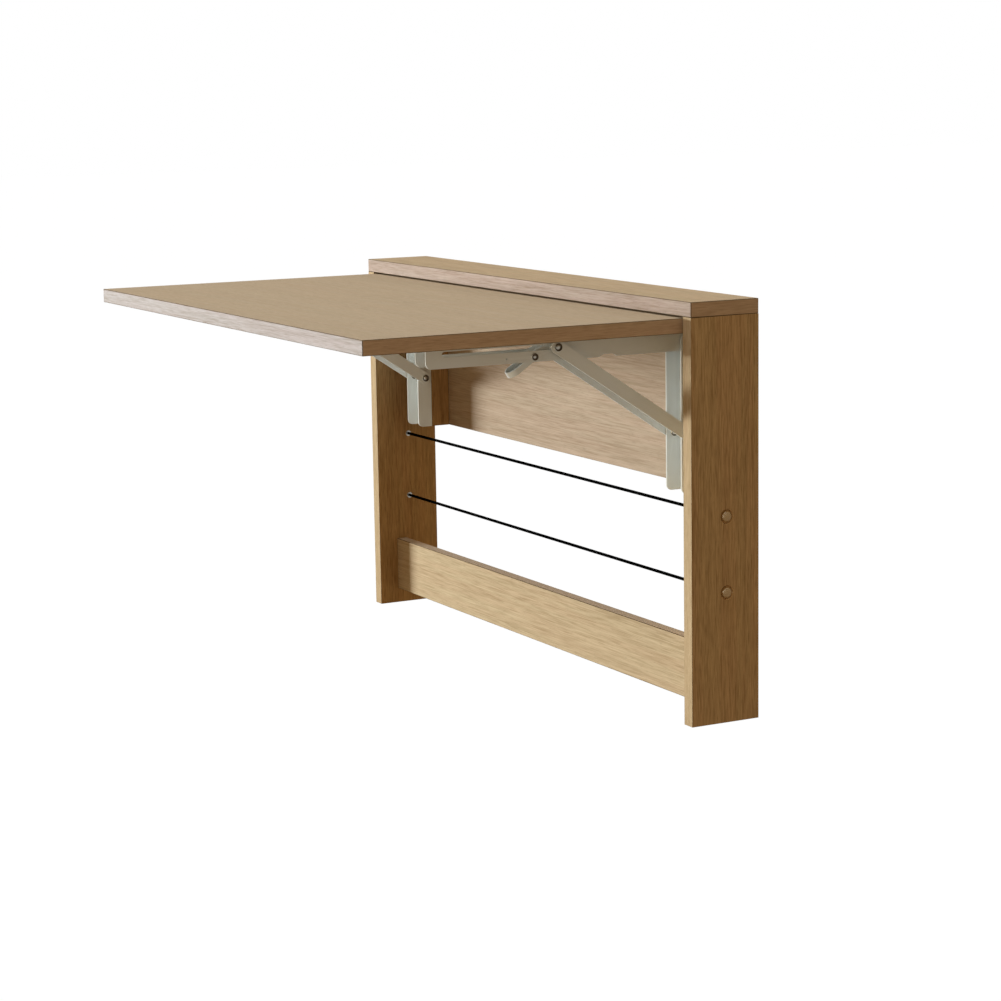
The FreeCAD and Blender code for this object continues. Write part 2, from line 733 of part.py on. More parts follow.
def washers():
    """Washers that fill the gaps between arm and arm, and between arm and strut."""
    corner = []
    foot = []
    corner_bore = "corner_pin_diameter + 2 * fixing_clearance"
    foot_bore = "rivet_diameter + 2 * fixing_clearance"
    for side, sign in SIDES:
        for end, out in ENDS:
            corner_start = f"{sign}bracket_x + {out} * (shelf_web_outside + axial_play)"
            corner_length = "wall_web_inside - shelf_web_outside - 2 * axial_play"
            corner.append(ring(f"corner_washer_{side}_{end}", OUTWARD[end], "washer_diameter",
                               corner_bore, corner_length, (corner_start, "corner_y", "corner_z")))
            foot_start = f"{sign}bracket_x + {out} * (wall_web_outside + axial_play)"
            foot.append(ring(f"foot_washer_{side}_{end}", OUTWARD[end], "washer_diameter", foot_bore,
                             "strut_gap - 2 * axial_play", (foot_start, "corner_y", "strut_foot_z")))
    keep("corner_washers", group("corner_washers", corner))
    keep("strut_foot_washers", group("strut_foot_washers", foot))


def strut_foot_rivets():
    rivets = []
    shank = "sheet + strut_gap + strut_thickness + axial_play"
    steps = (
        ("rivet_tail_diameter", "rivet_tail_height"),
        ("rivet_diameter", shank),
        ("rivet_head_diameter", "rivet_head_height"),
    )
    for side, sign in SIDES:
        for end, out in ENDS:
            start = f"{sign}bracket_x + {out} * (wall_web_inside - rivet_tail_height)"
            where = (start, "corner_y", "strut_foot_z")
            rivets.append(stepped(f"foot_rivet_{side}_{end}", OUTWARD[end], steps, where))
    keep("strut_foot_rivets", group("strut_foot_rivets", rivets))


def scoop(name, width, low, height):
    """A trough's block along +y, whose tip is round seen along z."""
    middle = box(f"{name}_middle", (width, "lever_tab_length", height), (f"-({width}) / 2", "0", low))
    tip = cylinder(f"{name}_tip", "z", width, height, ("0", "lever_tab_length", low))
    return fuse(name, [middle, tip])


def release_lever(side, sign):
    """A pressed lever between the webs: a scooped finger tab in front, a hook of two plates behind."""
    name = f"release_lever_{side}"
    tab_angle = "180 + lever_tab_droop"
    inside = "lever_width - 2 * lever_wall"
    tab = tilt(scoop(f"{name}_tab", "lever_width", "-lever_rim_rise",
                     "lever_rim_rise + lever_floor_drop"), tab_angle)
    boss = cylinder(f"{name}_boss", "x", "2 * lever_floor_drop", "lever_width",
                    ("-lever_width / 2", "0", "0"))
    hook = tilt(bar(f"{name}_hook", "lever_width", "lever_hook_length", "lever_hook_height"),
                "lever_hook_rise_angle")
    trough = tilt(scoop(f"{name}_trough", inside, "-lever_floor_drop",
                        "2 * lever_floor_drop - lever_wall"), tab_angle)
    slit = tilt(bar(f"{name}_slit", inside, "lever_hook_length + lever_hook_height",
                    "lever_hook_height + 2 * overrun"), "lever_hook_rise_angle")
    bore = cylinder(f"{name}_bore", "x", "lever_pin_diameter + 2 * running_clearance",
                    "lever_width + 2 * overrun", ("-lever_width / 2 - overrun", "0", "0"))
    piece = cut(name, fuse(f"{name}_whole", [tab, boss, hook]), [trough, slit, bore])
    keep(name, place(piece, (f"{sign}bracket_x", "lever_y", "lever_z")))


def lever_pin(side, sign):
    head = ("lever_pin_head_diameter", "lever_pin_head_height")
    steps = (head, ("lever_pin_diameter", "shelf_arm_width"), head)
    start = f"{sign}bracket_x - shelf_web_outside - lever_pin_head_height"
    keep(f"lever_pin_{side}", stepped(f"lever_pin_{side}", "x", steps, (start, "lever_y", "lever_z")))


def half_arc(start, corner, end):
    """The arc from start to end whose end tangents meet at corner."""
    middle = (start + end) / 2
    half_chord = (end - start).Length / 2
    height = (corner - middle).Length
    radius = half_chord * (corner - start).Length / height
    sagitta = radius * (1 - half_chord / (corner - start).Length)
    summit = middle + (corner - middle) * (sagitta / height)
    return Part.Arc(start, summit, end).toShape()


def biarc(start, start_way, end, end_way):
    """Two arcs that leave start along start_way and reach end along end_way."""
    span = end - start
    both = start_way + end_way
    square = 2 * (start_way.dot(end_way) - 1)
    linear = -2 * span.dot(both)
    constant = span.dot(span)
    root = math.sqrt(linear * linear - 4 * square * constant)
    reach = (-linear - root) / (2 * square)
    first = start + start_way * reach
    last = end - end_way * reach
    joint = (first + last) / 2
    return [half_arc(start, first, joint), half_arc(joint, last, end)]


def least_gap(points, apart, wire):
    """The least clear distance between two stretches of a wire that are apart along it."""
    pairs = ((one, other) for index, one in enumerate(points) for other in points[index + apart:])
    return min((one - other).Length for one, other in pairs) - wire


def spring_wire():
    """The middle line of a spring about its lever pin, from the lever's floor to the web."""
    wire = sheet.get("spring_wire")
    pitch = sheet.get("spring_pitch")
    radius = sheet.get("lever_pin_diameter") / 2 + sheet.get("spring_pin_gap") + wire / 2
    foot = sheet.get("spring_foot_length")
    floor = sheet.get("lever_floor_drop") - sheet.get("lever_wall")
    lean = (floor - sheet.get("spring_seat_gap") - wire / 2 - radius) / foot
    begin = math.radians(sheet.get("lever_tab_droop")) + lean - math.pi / 2
    hole_y = -sheet.get("spring_hole_lead")
    hole_z = sheet.get("spring_hole_height") - sheet.get("lever_pin_rise")
    to_hole = math.atan2(hole_z, hole_y) % FULL_TURN
    finish = to_hole - math.acos(radius / math.hypot(hole_y, hole_z))
    swept = finish - begin + FULL_TURN * SPRING_TURNS
    steps = math.ceil(swept / (FULL_TURN / 4))

    def on_coil(turn):
        across = pitch * (turn - swept / 2) / FULL_TURN
        angle = begin + turn
        return FreeCAD.Vector(across, radius * math.cos(angle), radius * math.sin(angle))

    def way_on_coil(turn):
        angle = begin + turn
        way = FreeCAD.Vector(pitch / FULL_TURN, -radius * math.sin(angle), radius * math.cos(angle))
        return way.normalize()

    turns = [swept * number / steps for number in range(steps + 1)]
    tip = on_coil(0) - way_on_coil(0) * foot
    edges = [Part.LineSegment(tip, on_coil(0)).toShape()]
    for here, there in zip(turns, turns[1:]):
        edges += biarc(on_coil(here), way_on_coil(here), on_coil(there), way_on_coil(there))
    way = way_on_coil(swept)
    last = on_coil(swept)
    corner = last + way * ((hole_y - last.y) / way.y)
    bend = sheet.get("spring_bend")
    inward = FreeCAD.Vector(bend, 0, 0)
    far = FreeCAD.Vector(sheet.get("shelf_web_outside"), corner.y, corner.z)
    edges.append(Part.LineSegment(last, corner - way * bend).toShape())
    edges.append(half_arc(corner - way * bend, corner, corner + inward))
    edges.append(Part.LineSegment(corner + inward, far).toShape())
    count = steps * GAP_POINTS_PER_ARC
    fine = [on_coil(swept * number / count) for number in range(count + 1)]
    gap = least_gap(fine, 2 * GAP_POINTS_PER_ARC, wire)
    print("least gap of the spring to itself:", round(gap, 3))
    return Part.Wire(edges), tip, way_on_coil(0), wire


def lever_springs():
    """Torsion springs round the lever pins, one leg on the lever's floor, one in the web."""
    path, tip, way, wire = spring_wire()
    section = Part.Wire(Part.Circle(tip, way, wire / 2).toShape())
    tube = path.makePipeShell([section], True, False)
    print("spring volume over section times length:",
          round(tube.Volume / (math.pi * wire ** 2 / 4 * path.Length), 4))
    for side, sign in SIDES:
        spring = doc.addObject("Part::Feature", f"lever_spring_{side}")
        spring.Shape = tube
        keep(f"lever_spring_{side}", place(spring, (f"{sign}bracket_x", "lever_y", "lever_z")))


fill_sheet()
side_panels()
top_board()
apron()
lower_rail()
tabletop()
bracket_blocks()
dowel_groups()
screw_groups()
tie_rods()
rod_nuts()
rod_collars()
for bracket_side, bracket_sign in SIDES:
    wall_arm(bracket_side, bracket_sign)
    shelf_arm(bracket_side, bracket_sign)
    strut(bracket_side, bracket_sign)
    slide_studs(bracket_side, bracket_sign)
    corner_pin(bracket_side, bracket_sign)
    release_lever(bracket_side, bracket_sign)
    lever_pin(bracket_side, bracket_sign)
washers()
strut_foot_rivets()
lever_springs()
doc.recompute()

faults = [item.Name for item in doc.Objects if "Invalid" in item.State or "Error" in item.State]
faults += [item.Label for item in nodes if item.Shape.isNull() or not item.Shape.isValid()]
if faults:
    raise RuntimeError(f"these objects failed: {faults}")

os.makedirs("parts", exist_ok=True)
for node in nodes:
    node.Shape.exportStep(f"parts/{node.Label}.step")
print(len(nodes), "nodes written")
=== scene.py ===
"""The looks of a wall-mounted folding desk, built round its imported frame. Metres."""
import json
import math
import random

import bmesh
import bpy
from mathutils import Matrix, Vector

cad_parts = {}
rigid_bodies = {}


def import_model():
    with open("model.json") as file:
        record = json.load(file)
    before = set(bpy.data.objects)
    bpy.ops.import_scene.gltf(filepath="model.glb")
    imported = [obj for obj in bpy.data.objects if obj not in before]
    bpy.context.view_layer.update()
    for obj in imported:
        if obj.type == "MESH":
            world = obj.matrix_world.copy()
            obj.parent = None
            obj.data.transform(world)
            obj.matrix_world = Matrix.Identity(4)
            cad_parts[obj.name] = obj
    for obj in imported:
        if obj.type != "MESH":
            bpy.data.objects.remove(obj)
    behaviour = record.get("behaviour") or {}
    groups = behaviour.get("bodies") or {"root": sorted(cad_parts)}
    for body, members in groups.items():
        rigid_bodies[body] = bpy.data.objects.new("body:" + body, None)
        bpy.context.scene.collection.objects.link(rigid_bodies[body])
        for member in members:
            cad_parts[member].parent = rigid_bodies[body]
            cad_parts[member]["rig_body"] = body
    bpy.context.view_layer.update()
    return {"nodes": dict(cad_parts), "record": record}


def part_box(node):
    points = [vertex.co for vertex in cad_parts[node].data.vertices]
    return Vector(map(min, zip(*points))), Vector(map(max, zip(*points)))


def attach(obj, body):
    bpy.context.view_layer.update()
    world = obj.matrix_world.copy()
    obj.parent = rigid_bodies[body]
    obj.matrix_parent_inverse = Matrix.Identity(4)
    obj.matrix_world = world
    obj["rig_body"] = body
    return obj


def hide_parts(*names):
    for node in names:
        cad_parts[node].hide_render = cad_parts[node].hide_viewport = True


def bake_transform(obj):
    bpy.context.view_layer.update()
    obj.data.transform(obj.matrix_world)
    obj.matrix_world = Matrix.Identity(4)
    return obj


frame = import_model()
SLOTS = {row["node"]: row["material_slot"] for row in frame["record"]["subparts"]}

MM = 0.001

# Sizes of the finished pieces; the wells are those of the part's source
ARRIS = 0.7 * MM
SHEET_ARRIS = 0.35 * MM
ARRIS_SEGMENTS = 2
BAND_DEPTH = 1.0 * MM
WELL_RADIUS = 9 * MM
WELL_DEPTH = 7 * MM
ROD_PLAY = 0.1 * MM
CUTTER_OVERRUN = 5 * MM

# The floor, well below the desk
FLOOR_LEVEL = -0.95
FLOOR_REACH = 30.0


# Materials

class Nodes:
    """A short way to write a node material."""

    def __init__(self, name):
        self.material = bpy.data.materials.new(name)
        self.material.use_nodes = True
        self.tree = self.material.node_tree
        self.tree.nodes.clear()
        self.output = self.tree.nodes.new("ShaderNodeOutputMaterial")
        self.shader = self.tree.nodes.new("ShaderNodeBsdfPrincipled")
        self.link(self.shader.outputs["BSDF"], self.output.inputs["Surface"])

    def link(self, source, target):
        self.tree.links.new(source, target)

    def put(self, value, socket):
        """Links the socket to another, or sets its own value."""
        if isinstance(value, bpy.types.NodeSocket):
            self.link(value, socket)
        else:
            socket.default_value = value

    def set(self, name, value):
        """Links or sets an input of the shader."""
        self.put(value, self.shader.inputs[name])

    def add(self, kind, inputs=None, **settings):
        node = self.tree.nodes.new(kind)
        for name, value in settings.items():
            setattr(node, name, value)
        for name, value in (inputs or {}).items():
            self.put(value, node.inputs[name])
        return node

    def place(self, scale=(1, 1, 1), shift=(0, 0, 0)):
        """Object coordinates, scaled and shifted."""
        where = self.add("ShaderNodeTexCoord").outputs["Object"]
        return self.add("ShaderNodeMapping", {
            "Vector": where, "Scale": scale, "Location": shift}).outputs["Vector"]

    def noise(self, where, scale, detail, roughness, distortion=0.0):
        return self.add("ShaderNodeTexNoise", {
            "Vector": where, "Scale": scale, "Detail": detail, "Roughness": roughness,
            "Distortion": distortion}).outputs["Fac"]

    def ramp(self, value, stops):
        """A colour between the stops, each a place and a colour."""
        node = self.add("ShaderNodeValToRGB", {"Fac": value})
        points = node.color_ramp.elements
        while len(points) < len(stops):
            points.new(0.5)
        for point, (place, colour) in zip(points, stops):
            point.position = place
            point.color = (*colour, 1.0)
        return node.outputs["Color"]

    def curve(self, value, low, high, out_low=0.0, out_high=1.0):
        """The value between low and high, brought between two others."""
        return self.add("ShaderNodeMapRange", {
            "Value": value, "From Min": low, "From Max": high,
            "To Min": out_low, "To Max": out_high}).outputs["Result"]

    def maths(self, operation, first, second):
        node = self.add("ShaderNodeMath", operation=operation)
        for socket, value in zip(node.inputs, (first, second)):
            self.put(value, socket)
        return node.outputs["Value"]

    def total(self, parts):
        """The sum of values, each with its share."""
        value, share = parts[0]
        result = self.maths("MULTIPLY", value, share)
        for value, share in parts[1:]:
            result = self.maths("ADD", result, self.maths("MULTIPLY", value, share))
        return result

    def mix(self, share, first, second, blend="MIX"):
        node = self.add("ShaderNodeMix", data_type="RGBA", blend_type=blend)
        for name, value in (("Factor", share), ("A", first), ("B", second)):
            socket = next(s for s in node.inputs if s.name == name and s.enabled)
            self.put((*value, 1.0) if isinstance(value, tuple) else value, socket)
        return next(s for s in node.outputs if s.enabled)

    def bump(self, height, distance, strength=1.0):
        return self.add("ShaderNodeBump", {
            "Height": height, "Distance": distance, "Strength": strength}).outputs["Normal"]


def tinted(colour, red, green, blue):
    return colour[0] * red, colour[1] * green, colour[2] * blue


def stretched(along, run, across=26.0):
    """Scales of a pattern that is drawn out along one axis: the smaller the run, the longer."""
    return tuple(run if axis == along else across for axis in "xyz")


def oak(name, along, tone, contrast=1.0, run=2.0):
    """Oak laminate of one mean tone, with streaks, growth rings and pores along one axis.

    The name seeds the pattern. A small run draws the fine streaks out long.
    """
    ring_count = 90.0
    total_low, total_high = 0.92, 1.52
    deepest, palest = -0.40 * contrast, 0.30 * contrast
    deep_reach, pale_reach = (0.86, 1.0, 1.2), (0.9, 1.0, 1.15)
    rosy_tint, pore_tint = (1.04, 0.955, 0.97), (0.42, 0.42, 0.42)
    roughness = 0.5

    n = Nodes(name)
    seed = random.Random(name).uniform(-3.0, 3.0)
    wide = n.place(stretched(along, 1.0), (seed, seed, seed))
    figure = n.noise(wide, scale=1.3, detail=2.0, roughness=0.45, distortion=0.8)
    rings = n.maths("SINE", n.maths("MULTIPLY", figure, ring_count), 0.0)
    streak = n.noise(wide, scale=6.0, detail=3.0, roughness=0.55, distortion=0.3)
    ripple = n.noise(n.place(stretched(along, run)),
                     scale=19.0, detail=3.0, roughness=0.6, distortion=0.6)
    grain = n.noise(n.place(stretched(along, 0.85 * run)),
                    scale=38.0, detail=2.0, roughness=0.5, distortion=0.2)
    pores = n.noise(n.place(stretched(along, 0.5, 5.0)), scale=170.0, detail=2.0, roughness=0.5)
    blush = n.noise(wide, scale=3.1, detail=2.0, roughness=0.5)

    total = n.total(((figure, 0.25), (streak, 0.42), (ripple, 0.82), (grain, 0.95), (rings, 0.04)))
    deep = tinted(tone, *(1.0 + deepest * reach for reach in deep_reach))
    pale = tinted(tone, *(1.0 + palest * reach for reach in pale_reach))
    colour = n.ramp(n.curve(total, total_low, total_high), ((0.0, deep), (0.5, tone), (1.0, pale)))
    rosy = n.curve(blush, 0.42, 0.6, out_high=0.5 * contrast)
    colour = n.mix(rosy, colour, n.mix(1.0, colour, rosy_tint, "MULTIPLY"))
    dashes = n.curve(pores, 0.60, 0.72, out_high=0.42 * contrast)
    n.set("Base Color", n.mix(dashes, colour, tinted(tone, *pore_tint)))
    n.set("Roughness", n.curve(streak, 0.3, 0.7, roughness - 0.06, roughness + 0.1))
    n.set("Specular IOR Level", 0.05)
    height = n.maths("SUBTRACT", n.maths("MULTIPLY", ripple, 0.6), dashes)
    n.set("Normal", n.bump(height, 0.15 * MM, 0.5))
    return n.material


def painted(name, colour, roughness, metallic=0.0):
    """Coated sheet with fine orange peel, and lighter arrises: the coat worn thin there, and a painted
    highlight.
    """
    n = Nodes(name)
    where = n.place()
    peel = n.noise(where, scale=900.0, detail=2.0, roughness=0.5)
    cloud = n.noise(where, scale=45.0, detail=3.0, roughness=0.6)
    dull, bright, bare_and_highlight = (tuple(min(1.0, share * c) for c in colour) for share in (0.94, 1.05, 1.25))
    edge = n.add("ShaderNodeNewGeometry").outputs["Pointiness"]
    # Lighter arrises by pointiness: wear, and a painted highlight along the edges.
    wear_and_highlight = n.curve(edge, 0.54, 0.62, out_high=0.5)
    n.set("Base Color", n.mix(wear_and_highlight, n.ramp(cloud, ((0.3, dull), (0.7, bright))), bare_and_highlight))
    n.set("Metallic", metallic)
    n.set("Roughness", n.curve(cloud, 0.3, 0.7, roughness - 0.05, roughness + 0.08))
    n.set("Normal", n.bump(peel, 0.03 * MM, 0.35))
    return n.material


def metal(name, colour, roughness=0.32):
    """Plated steel with fine turning marks and slight stains."""
    n = Nodes(name)
    where = n.place()
    marks = n.noise(where, scale=700.0, detail=3.0, roughness=0.6)
    stain = n.noise(where, scale=120.0, detail=4.0, roughness=0.65)
    n.set("Base Color", n.ramp(stain, ((0.3, tinted(colour, 0.8, 0.8, 0.8)), (0.65, colour))))
    n.set("Metallic", 1.0)
    n.set("Roughness", n.curve(marks, 0.3, 0.7, roughness - 0.08, roughness + 0.12))
    n.set("Normal", n.bump(marks, 0.02 * MM, 0.3))
    return n.material


def black_coat(name):
    """Dull black paint with a little dust."""
    n = Nodes(name)
    dust = n.noise(n.place(), scale=260.0, detail=4.0, roughness=0.6)
    n.set("Base Color", n.ramp(dust, ((0.4, (0.001, 0.001, 0.001)), (0.8, (0.003, 0.003, 0.003)))))
    n.set("Roughness", n.curve(dust, 0.3, 0.7, 0.55, 0.7))
    n.set("Specular IOR Level", 0.0)
    return n.material


def moulded(name, colour):
    """Smooth, slightly clouded plastic with a broad sheen."""
    n = Nodes(name)
    cloud = n.noise(n.place(), scale=300.0, detail=3.0, roughness=0.6)
    n.set("Base Color", n.ramp(cloud, ((0.3, tinted(colour, 0.9, 0.9, 0.9)), (0.7, colour))))
    n.set("Roughness", n.curve(cloud, 0.3, 0.7, 0.42, 0.50))
    n.set("Specular IOR Level", 1.0)
    n.set("Normal", n.bump(cloud, 0.02 * MM, 0.3))
    return n.material


OAK = (0.46, 0.345, 0.205)
# The pale grey of the front bands is a painted sheen: the key's reflection put into the colour.
PAINTED_SHEEN_BAND = (0.49, 0.46, 0.445)

# The boards' faces and their bands, the pale grey of band_x being a painted sheen of the key's reflection;
# their fine arrises painted dark as shade; and the pale core in the wells, its pale tone also painting light
# into the wells' shade.
# The inner face of the left panel, and the left bracket block, have the grain of oak_z in a darker, warmer
# tone: painted shade of the unlit left corner.
MATERIALS = {
    "oak_x": oak("oak_x", "x", OAK, 0.7, run=0.8),
    # apron_x is a little darker than the rail's oak: painted shade from the tabletop above, with a pinker
    # tone of the apron's own.
    "apron_x": oak("apron_x", "x", (0.425, 0.338, 0.248), 0.62, run=0.7),
    "oak_z": oak("oak_z", "z", OAK, 0.95, run=1.4),
    # A darker, warmer copy of oak_z: painted shade.
    "oak_z_painted_shade": oak("oak_z", "z", tinted(OAK, 0.90, 0.79, 0.62), 0.95, run=1.4),
    "top_x": oak("top_x", "x", tinted(OAK, 0.95, 0.98, 1.07), 0.4),
    "band_x": oak("band_x", "x", PAINTED_SHEEN_BAND, 0.7, run=1.0),
    "band_top": oak("band_top", "x", (0.40, 0.325, 0.27), 0.7, run=1.0),
    "rail_x": oak("rail_x", "x", (0.475, 0.378, 0.24), 0.7, run=0.8),
    "rail_edge": oak("rail_edge", "x", (0.58, 0.49, 0.38), 0.6),
    "band_y": oak("band_y", "y", (0.50, 0.40, 0.32), 0.5),
    "band_z": oak("band_z", "z", (0.46, 0.35, 0.21), 0.6),
    # seam: every rounded arris in a near-black oak, painted shade along the board's edges.
    "seam": oak("seam", "x", tinted(OAK, 0.3, 0.3, 0.3), 0.6),
    # core: pale wall colour of the wells, the board's core and also painted light lifting the shade in the
    # wells.
    "core": oak("core", "z", (0.86, 0.68, 0.44), 0.3),
    "dowel": oak("dowel", "x", (0.56, 0.42, 0.25)),
    "bracket": painted("bracket", (0.66, 0.695, 0.70), roughness=0.75, metallic=0.42),
    # groove: near-black colour of the rivets' sunk rings, painted shade in those recesses.
    "groove": painted("groove", (0.085, 0.065, 0.045), roughness=0.6),
    "rivet": metal("rivet", (0.55, 0.53, 0.48)),
    "zinc": metal("zinc", (0.62, 0.62, 0.60)),
    "spring": metal("spring", (0.42, 0.42, 0.42), roughness=0.28),
    "rod": black_coat("rod"),
    "cap": moulded("cap", (0.46, 0.33, 0.16)),
}

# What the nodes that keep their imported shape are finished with, by material slot
FINISHES = {
    "dowel_wood": "dowel",
    "rod_black": "rod",
    "bracket_steel": "bracket",
    "zinc_hardware": "zinc",
}


# Pieces

def new_object(name, mesh):
    piece = bpy.data.objects.new(name, mesh)
    bpy.context.scene.collection.objects.link(piece)
    return piece


def mesh_of(build):
    """A mesh from a function that fills a bmesh."""
    mesh = bpy.data.meshes.new("mesh")
    work = bmesh.new()
    build(work)
    bmesh.ops.recalc_face_normals(work, faces=work.faces)
    work.to_mesh(mesh)
    work.free()
    return mesh


def dress(piece, node, materials):
    """The piece rides where its node does, stands for it and has its materials."""
    for name in materials:
        piece.data.materials.append(MATERIALS[name])
    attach(piece, frame["nodes"][node]["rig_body"])
    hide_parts(node)


def cutter(place, radius, axis, low, high, segments=48):
    """A cylinder from low to high along an axis, through a place across it."""
    def build(work):
        turn = {"x": Matrix.Rotation(math.pi / 2, 4, "Y"), "y": Matrix.Rotation(-math.pi / 2, 4, "X")}[axis]
        centre = Vector(place)
        centre["xyz".index(axis)] = (low + high) / 2
        bmesh.ops.create_cone(work, cap_ends=True, segments=segments, radius1=radius, radius2=radius,
                              depth=high - low, matrix=Matrix.Translation(centre) @ turn)
    return new_object("cutter", mesh_of(build))


def cut_away(piece, cutters, name):
    """Cuts other objects out of the piece, one after the other, and deletes them."""
    for number, other in enumerate(cutters):
        boolean = piece.modifiers.new(f"{name}{number}", "BOOLEAN")
        boolean.object = other
        boolean.solver = "EXACT"
        boolean.operation = "DIFFERENCE"
    apply_modifiers(piece)
    for other in cutters:
        bpy.data.objects.remove(other)


def apply_modifiers(piece):
    """Keeps what the piece's modifiers make of it, and drops them."""
    bpy.context.view_layer.update()
    evaluated = piece.evaluated_get(bpy.context.evaluated_depsgraph_get())
    mesh = bpy.data.meshes.new_from_object(evaluated)
    piece.modifiers.clear()
    piece.data = mesh


def board(node, materials, paint, holes=(), seams=()):
    """A board with fine rounded arrises, drilled holes and band seams, painted face by face.

    paint gives a face's material from the way that it faces and its centre.
    """
    low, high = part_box(node)

    def build(work):
        bmesh.ops.create_cube(work, size=1.0)
        for vertex in work.verts:
            for axis in range(3):
                vertex.co[axis] = high[axis] if vertex.co[axis] > 0 else low[axis]
    piece = new_object(f"{node}_board", mesh_of(build))
    if holes:
        cut_away(piece, holes, "hole")
    round_edges(piece)
    seam_lines(piece, seams)
    flat = 0.9999
    for face in piece.data.polygons:
        sides_near = sum(min(face.center[axis] - low[axis], high[axis] - face.center[axis]) < ARRIS
                         for axis in range(3))
        face.use_smooth = max(abs(v) for v in face.normal) < flat
        on_arris = face.use_smooth and sides_near > 1
        # Rounded arrises take the dark seam material: painted shade along the edges.
        face.material_index = len(materials) if on_arris else paint(facing(face.normal), face.center)
    dress(piece, node, (*materials, "seam"))


def seam_lines(piece, seams):
    """Cuts the board's faces along planes, given as pairs of axis and place."""
    work = bmesh.new()
    work.from_mesh(piece.data)
    for axis, place in seams:
        point = Vector()
        point["xyz".index(axis)] = place
        normal = Vector()
        normal["xyz".index(axis)] = 1.0
        bmesh.ops.bisect_plane(work, geom=[*work.verts, *work.edges, *work.faces], dist=1e-7,
                               plane_co=point, plane_no=normal)
    work.to_mesh(piece.data)
    work.free()


def round_edges(piece):
    bevel = piece.modifiers.new("arris", "BEVEL")
    bevel.width = ARRIS
    bevel.segments = ARRIS_SEGMENTS
    bevel.limit_method = "ANGLE"
    bevel.angle_limit = math.radians(40)
    bevel.harden_normals = False
    apply_modifiers(piece)


def facing(normal):
    """The axis that a normal points along most, with its sign."""
    axis = max(range(3), key=lambda index: abs(normal[index]))
    return ("+" if normal[axis] > 0 else "-") + "xyz"[axis]


def side_panel(side, sign):
    """A side panel with the wells of the rod nuts and the bores of the tie rods."""
    node = f"side_panel_{side}"
    low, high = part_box(node)
    outer = high.x if sign > 0 else low.x
    rods = [sum(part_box(f"tie_rod_{level}"), Vector()) / 2 for level in ("upper", "lower")]
    rod_low, rod_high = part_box("tie_rod_upper")
    bore_radius = (rod_high.z - rod_low.z) / 2 + ROD_PLAY
    edge = 0.1 * MM
    holes = []
    for rod in rods:
        ends = sorted((outer - sign * WELL_DEPTH, outer + sign * CUTTER_OVERRUN))
        holes.append(cutter(rod, WELL_RADIUS, "x", *ends))
        holes.append(cutter(rod, bore_radius, "x", low.x - CUTTER_OVERRUN, high.x + CUTTER_OVERRUN))

    def paint(way, centre):
        off_rods = min(math.hypot(centre.y - rod.y, centre.z - rod.z) for rod in rods)
        # The wells' walls take the pale core tone, which also paints light into their shade.
        if abs(centre.x - outer) > edge and off_rods < WELL_RADIUS + edge:
            return 3
        if way[1] != "x":
            return 1
        # The left panel's inner face gets the darker, warmer oak: painted shade of the unlit corner.
        return 2 if side == "left" and way == "+x" else 0
    board(node, ("oak_z", "band_z", "oak_z_painted_shade", "core"), paint, holes)


def banded_board(node, face, band):
    """A board with one band on its front face and another on both ends."""
    low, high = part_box(node)
    front = low.y + BAND_DEPTH
    ends = (low.x + BAND_DEPTH, high.x - BAND_DEPTH)

    def paint(way, centre):
        if centre.y < front:
            return 1
        return 2 if not ends[0] < centre.x < ends[1] else 0
    board(node, (face, band, "band_y"), paint, seams=(("y", front), ("x", ends[0]), ("x", ends[1])))


def fixing_holes():
    """Cutters for the four holes that fasten the apron to the wall."""
    low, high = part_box("apron")
    mount = next(m for m in frame["record"]["mounts"] if m["name"] == "wall_fixings")["dims"]
    holes = []
    for across in (-1, 1):
        for up in (-1, 1):
            place = (across * mount["spacing_x_mm"] / 2 * MM, 0, up * mount["spacing_y_mm"] / 2 * MM)
            holes.append(cutter(place, mount["hole_r_mm"] * MM, "y",
                                low.y - CUTTER_OVERRUN, high.y + CUTTER_OVERRUN, segments=32))
    return holes


def wood_parts():
    def on_top_and_bottom(way, centre):
        return 1 if way[1] == "z" else 0

    side_panel("left", -1)
    side_panel("right", 1)
    banded_board("top_board", "oak_x", "band_top")
    banded_board("tabletop", "top_x", "band_x")
    board("lower_rail", ("rail_x", "rail_edge"), on_top_and_bottom)
    board("apron", ("apron_x", "band_x"), on_top_and_bottom, fixing_holes())
    # The left block gets the same darker, warmer oak: painted shade.
    board("bracket_block_left", ("oak_z_painted_shade",), lambda way, centre: 0)
    board("bracket_block_right", ("oak_z",), lambda way, centre: 0)


def solids_of(node):
    """The corner points of each separate solid of a node."""
    work = bmesh.new()
    work.from_mesh(frame["nodes"][node].data)
    bmesh.ops.remove_doubles(work, verts=work.verts, dist=1e-6)
    found = []
    left = set(work.verts)
    while left:
        start = min(left, key=lambda vertex: vertex.index)
        solid = {start}
        to_follow = [start]
        while to_follow:
            for edge in to_follow.pop().link_edges:
                for vertex in edge.verts:
                    if vertex not in solid:
                        solid.add(vertex)
                        to_follow.append(vertex)
        left -= solid
        found.append([vertex.co.copy() for vertex in solid])
    work.free()
    return sorted(found, key=lambda points: tuple(min(p[i] for p in points) for i in range(3)))


def outline_of(points, axis):
    """A turned solid's middle line and its steps: a place, and the least and most radius there."""
    index = "xyz".index(axis)
    others = [i for i in range(3) if i != index]
    middle = Vector()
    for other in others:
        values = [p[other] for p in points]
        middle[other] = (min(values) + max(values)) / 2
    places = {}
    for point in points:
        radius = math.hypot(*(point[i] - middle[i] for i in others))
        if radius > 0.1 * MM:
            places.setdefault(round(point[index], 5), set()).add(round(radius, 5))
    return middle, [(place, min(radii), max(radii)) for place, radii in sorted(places.items())]


